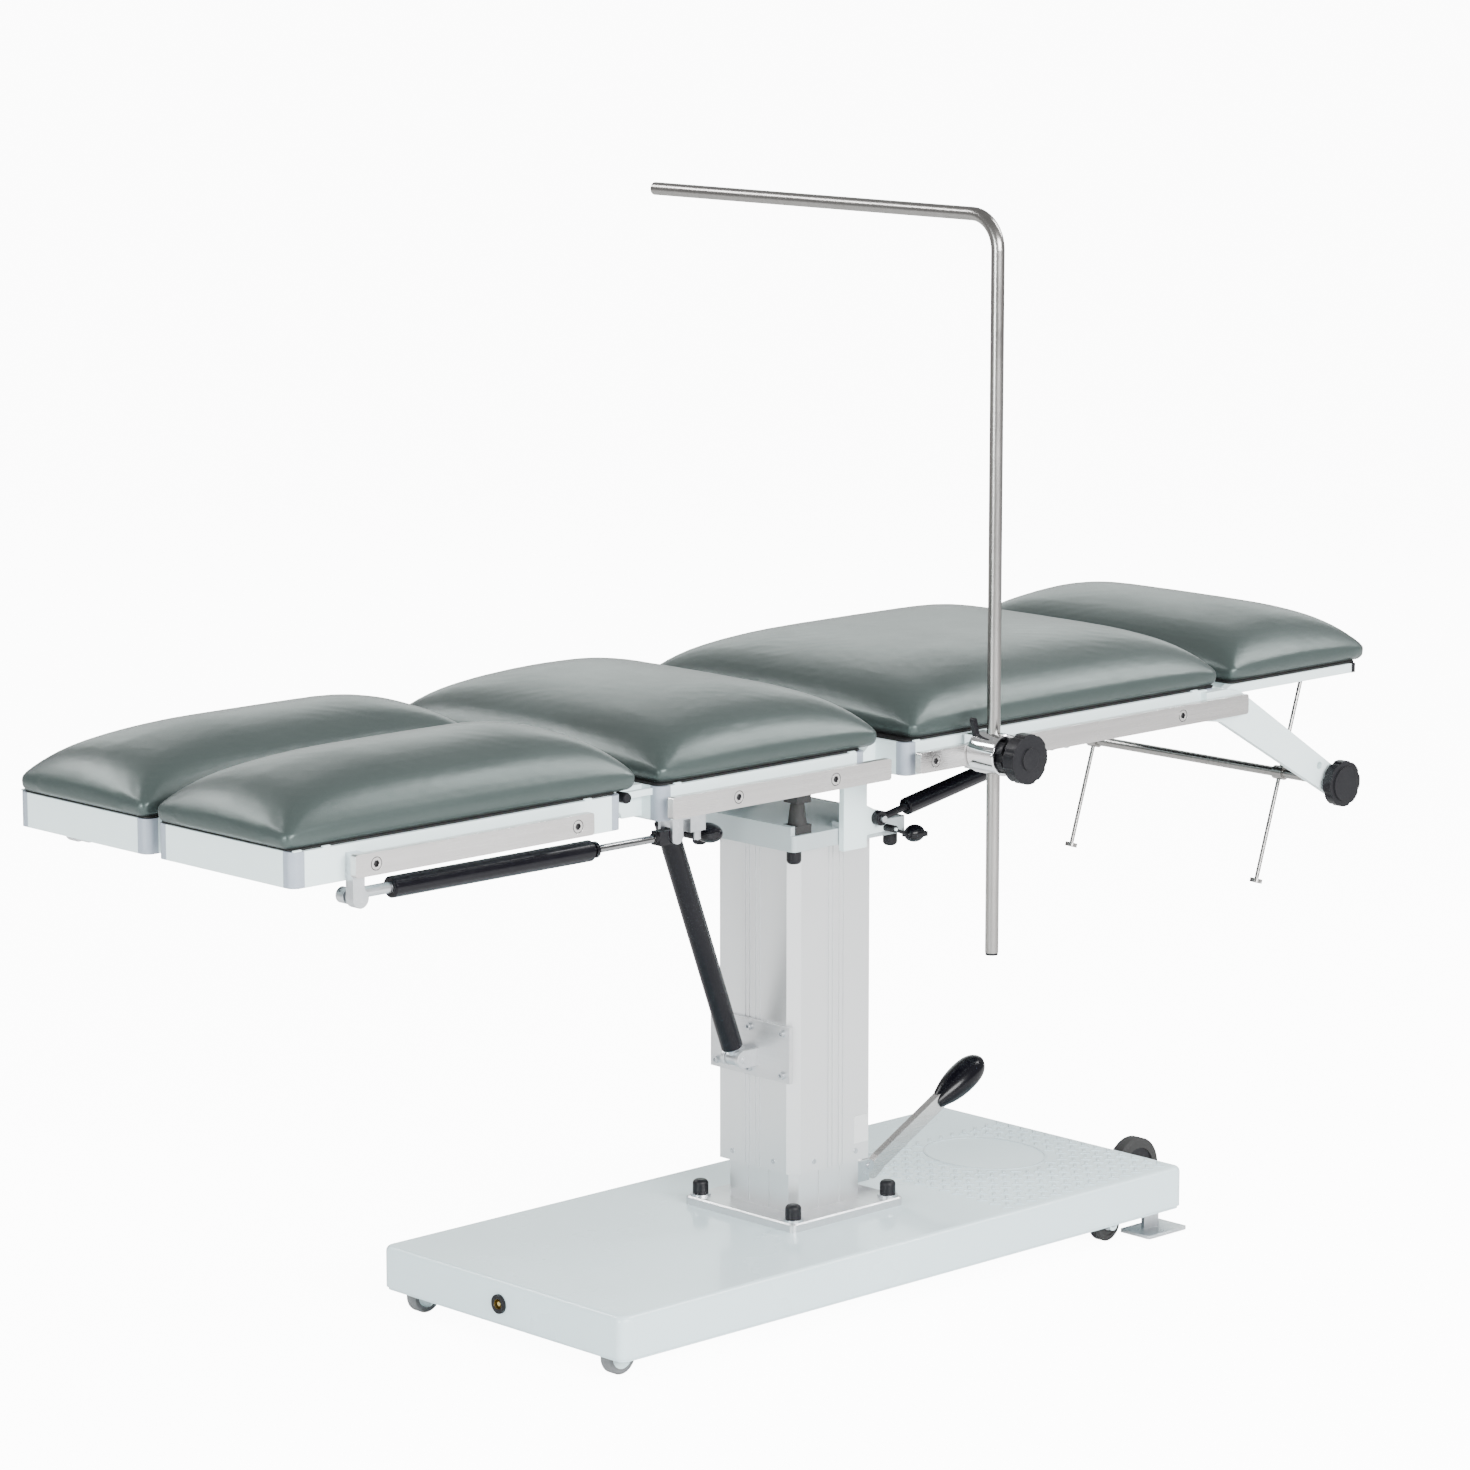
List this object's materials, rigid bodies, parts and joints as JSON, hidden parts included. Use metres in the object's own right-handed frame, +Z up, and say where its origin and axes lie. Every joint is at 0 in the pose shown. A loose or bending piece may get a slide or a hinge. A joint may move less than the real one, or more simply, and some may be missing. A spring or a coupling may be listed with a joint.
{
  "type": "operating table",
  "caption": "Height-adjustable operating table with split legs, seat, back and head sections, gas springs, side rails and a screen bar.",
  "frame": {"origin": "on the floor, on the column's axis", "axes": "+X along the table to the head end, +Y to the side away from the screen bar's upright, +Z up"},
  "size_m": [1.998, 0.719, 1.473],
  "materials": {
    "moulded_white": "glossy moulded",
    "bonding_brass": "plated",
    "satin_plate": "satin anodised",
    "column_profile": "satin anodised extrusion",
    "painted_arm": "pale powder coat",
    "frame_profile": "pale coated profile",
    "corner_grey": "matte",
    "black_plastic": "satin",
    "black_rubber": "matte",
    "spring_black": "gloss black",
    "zinc": "bright zinc",
    "rail_steel": "brushed",
    "clamp_chrome": "polished",
    "vinyl": "grey-green vinyl",
    "wheel_grey": "matte"
  },
  "bodies": {
    "base": {"base_slab": "moulded_white", "bonding_socket": "bonding_brass", "column_plate": "satin_plate", "plate_caps": "black_plastic", "column_inner": "column_profile", "lever_bracket": "zinc", "transport_bracket": "zinc"},
    "lever": {"pump_lever": "rail_steel", "lever_grip": "black_plastic"},
    "fork_near": {"foot_fork_near": "zinc"},
    "fork_far": {"foot_fork_far": "zinc"},
    "wheel_near": {"foot_wheel_near": "wheel_grey"},
    "wheel_far": {"foot_wheel_far": "wheel_grey"},
    "head_axle": {"head_wheels": "wheel_grey"},
    "transport": {"transport_wheel": "black_rubber"},
    "pedal": {"foot_pedal": "zinc"},
    "lift": {"column_outer": "column_profile", "column_screws": "zinc", "anchor_plate": "satin_plate", "column_head": "painted_arm", "head_caps": "black_plastic", "rubber_stops": "black_rubber"},
    "tilt_barrel": {"tilt_cylinder": "spring_black"},
    "tilt_plunger": {"tilt_rod": "spring_black"},
    "seat": {"tilt_yoke": "painted_arm", "seat_frame": "frame_profile", "seat_corners": "corner_grey", "seat_cushion": "vinyl", "seat_rails": "rail_steel", "spring_brackets": "zinc"},
    "back": {"back_frame": "frame_profile", "back_corners": "corner_grey", "back_cushion": "vinyl", "back_rails": "rail_steel", "head_arms": "painted_arm"},
    "back_barrel": {"back_cylinder": "spring_black"},
    "back_plunger": {"back_rod": "zinc"},
    "back_release": {"back_paddle": "black_plastic"},
    "head": {"head_frame": "painted_arm", "head_cushion": "vinyl"},
    "head_stays": {"head_rods": "rail_steel"},
    "spindle": {"head_spindle": "rail_steel"},
    "spindle_lock": {"spindle_knob": "black_plastic"},
    "clamp": {"rail_clamp": "clamp_chrome"},
    "bar": {"screen_bar": "rail_steel"},
    "clamp_lock": {"clamp_knob": "black_plastic"},
    "leg_near": {"leg_frame_near": "frame_profile", "leg_corners_near": "corner_grey", "leg_cushion_near": "vinyl", "leg_rail_near": "rail_steel"},
    "leg_barrel_near": {"leg_cylinder_near": "spring_black"},
    "leg_plunger_near": {"leg_rod_near": "zinc"},
    "leg_release_near": {"leg_paddle_near": "black_plastic"},
    "leg_far": {"leg_frame_far": "frame_profile", "leg_corners_far": "corner_grey", "leg_cushion_far": "vinyl", "leg_rail_far": "rail_steel"},
    "leg_barrel_far": {"leg_cylinder_far": "spring_black"},
    "leg_plunger_far": {"leg_rod_far": "zinc"},
    "leg_release_far": {"leg_paddle_far": "black_plastic"}
  },
  "joints": [
    {"name": "column_lift", "type": "slide", "parent": "base", "child": "lift", "axis": [0, 0, 1], "range_m": [-0.045, 0.255]},
    {"name": "lever_pump", "type": "hinge", "parent": "base", "child": "lever", "pos_m": [0.133, 0, 0.122], "axis": [0, 1, 0], "range_deg": [0, 20], "stiffness_Nm_per_rad": 8},
    {"name": "castor_swivel_near", "type": "hinge", "parent": "base", "child": "fork_near", "pos_m": [-0.494, -0.192, 0.06], "axis": [0, 0, 1], "continuous": true},
    {"name": "castor_roll_near", "type": "hinge", "parent": "fork_near", "child": "wheel_near", "pos_m": [-0.506, -0.192, 0.025], "axis": [0, 1, 0], "continuous": true},
    {"name": "castor_swivel_far", "type": "hinge", "parent": "base", "child": "fork_far", "pos_m": [-0.494, 0.192, 0.06], "axis": [0, 0, 1], "continuous": true},
    {"name": "castor_roll_far", "type": "hinge", "parent": "fork_far", "child": "wheel_far", "pos_m": [-0.506, 0.192, 0.025], "axis": [0, 1, 0], "continuous": true},
    {"name": "head_axle_roll", "type": "hinge", "parent": "base", "child": "head_axle", "pos_m": [0.41, 0, 0.025], "axis": [0, 1, 0], "continuous": true},
    {"name": "transport_roll", "type": "hinge", "parent": "base", "child": "transport", "pos_m": [0.606, -0.082, 0.045], "axis": [0, 1, 0], "continuous": true},
    {"name": "pedal_lift", "type": "slide", "parent": "base", "child": "pedal", "axis": [0, 0, 1], "range_m": [0, 0.015]},
    {"name": "tilt", "type": "hinge", "parent": "lift", "child": "seat", "pos_m": [-0.002, 0, 0.628], "axis": [0, 1, 0], "range_deg": [0, 20]},
    {"name": "tilt_barrel_swing", "type": "hinge", "parent": "lift", "child": "tilt_barrel", "pos_m": [-0.112, 0, 0.316], "axis": [0, 1, 0], "range_deg": [-0.5, 9]},
    {"name": "tilt_stroke", "type": "slide", "parent": "tilt_barrel", "child": "tilt_plunger", "axis": [-0.3519, 0, 0.936], "range_m": [-0.001, 0.07]},
    {"name": "leg_near", "type": "hinge", "parent": "seat", "child": "leg_near", "pos_m": [-0.563, -0.14, 0.771], "axis": [0, -1, 0], "range_deg": [0, 60]},
    {"name": "leg_barrel_swing_near", "type": "hinge", "parent": "leg_near", "child": "leg_barrel_near", "pos_m": [-1, -0.255, 0.712], "axis": [0, -1, 0], "range_deg": [-8, 0.5]},
    {"name": "leg_stroke_near", "type": "slide", "parent": "leg_barrel_near", "child": "leg_plunger_near", "axis": [1, 0, -0.0038], "range_m": [-0.1, 0.001]},
    {"name": "leg_release_near", "type": "hinge", "parent": "seat", "child": "leg_release_near", "pos_m": [-0.434, -0.255, 0.706], "axis": [0, -1, 0], "range_deg": [0, 12], "stiffness_Nm_per_rad": 0.4},
    {"name": "leg_far", "type": "hinge", "parent": "seat", "child": "leg_far", "pos_m": [-0.563, 0.14, 0.771], "axis": [0, -1, 0], "range_deg": [0, 60]},
    {"name": "leg_barrel_swing_far", "type": "hinge", "parent": "leg_far", "child": "leg_barrel_far", "pos_m": [-1, 0.255, 0.712], "axis": [0, -1, 0], "range_deg": [-8, 0.5]},
    {"name": "leg_stroke_far", "type": "slide", "parent": "leg_barrel_far", "child": "leg_plunger_far", "axis": [1, 0, -0.0038], "range_m": [-0.1, 0.001]},
    {"name": "leg_release_far", "type": "hinge", "parent": "seat", "child": "leg_release_far", "pos_m": [-0.434, 0.255, 0.706], "axis": [0, -1, 0], "range_deg": [0, 12], "stiffness_Nm_per_rad": 0.4},
    {"name": "back", "type": "hinge", "parent": "seat", "child": "back", "pos_m": [-0.13, 0, 0.77], "axis": [0, -1, 0], "range_deg": [0, 50]},
    {"name": "back_barrel_swing", "type": "hinge", "parent": "seat", "child": "back_barrel", "pos_m": [0.038, -0.1235, 0.644], "axis": [0, -1, 0], "range_deg": [-0.5, 57]},
    {"name": "back_stroke", "type": "slide", "parent": "back_barrel", "child": "back_plunger", "axis": [0.9843, 0, 0.1765], "range_m": [-0.001, 0.175]},
    {"name": "back_release", "type": "hinge", "parent": "seat", "child": "back_release", "pos_m": [0.06, -0.1235, 0.627], "axis": [0, -1, 0], "range_deg": [-10, 0], "stiffness_Nm_per_rad": 0.4},
    {"name": "head", "type": "hinge", "parent": "back", "child": "head", "pos_m": [0.57, 0, 0.768], "axis": [0, -1, 0], "range_deg": [-15, 30]},
    {"name": "head_stays_swing", "type": "hinge", "parent": "head", "child": "head_stays", "pos_m": [0.85, 0, 0.76], "axis": [0, -1, 0], "range_deg": [-15, 8]},
    {"name": "spindle_turn", "type": "hinge", "parent": "back", "child": "spindle", "pos_m": [0.803, 0, 0.614], "axis": [0, -1, 0], "range_deg": [-8, 16]},
    {"name": "spindle_lock_turn", "type": "hinge", "parent": "spindle", "child": "spindle_lock", "pos_m": [0.803, -0.29, 0.614], "axis": [0, 1, 0], "continuous": true},
    {"name": "clamp_slide", "type": "slide", "parent": "back", "child": "clamp", "axis": [1, 0, 0], "range_m": [-0.08, 0.42]},
    {"name": "bar_height", "type": "slide", "parent": "clamp", "child": "bar", "axis": [0, 0, 1], "range_m": [-0.4, 0.2]},
    {"name": "clamp_lock_turn", "type": "hinge", "parent": "clamp", "child": "clamp_lock", "pos_m": [0.054, -0.372, 0.757], "axis": [0, 1, 0], "continuous": true}
  ],
  "couplings": [
    {"joint": "tilt_barrel_swing", "follows": "tilt", "ratio": 0.41902},
    {"joint": "tilt_stroke", "follows": "tilt", "m_per_rad": 0.19713},
    {"joint": "leg_barrel_swing_near", "follows": "leg_near", "ratio": -0.11115},
    {"joint": "leg_stroke_near", "follows": "leg_near", "m_per_rad": -0.091862},
    {"joint": "leg_barrel_swing_far", "follows": "leg_far", "ratio": -0.11115},
    {"joint": "leg_stroke_far", "follows": "leg_far", "m_per_rad": -0.091862},
    {"joint": "back_barrel_swing", "follows": "back", "ratio": 1.1176},
    {"joint": "back_stroke", "follows": "back", "m_per_rad": 0.1967},
    {"joint": "head_stays_swing", "follows": "head", "ratio": -0.4935},
    {"joint": "spindle_turn", "follows": "head", "ratio": 0.5065}
  ]
}
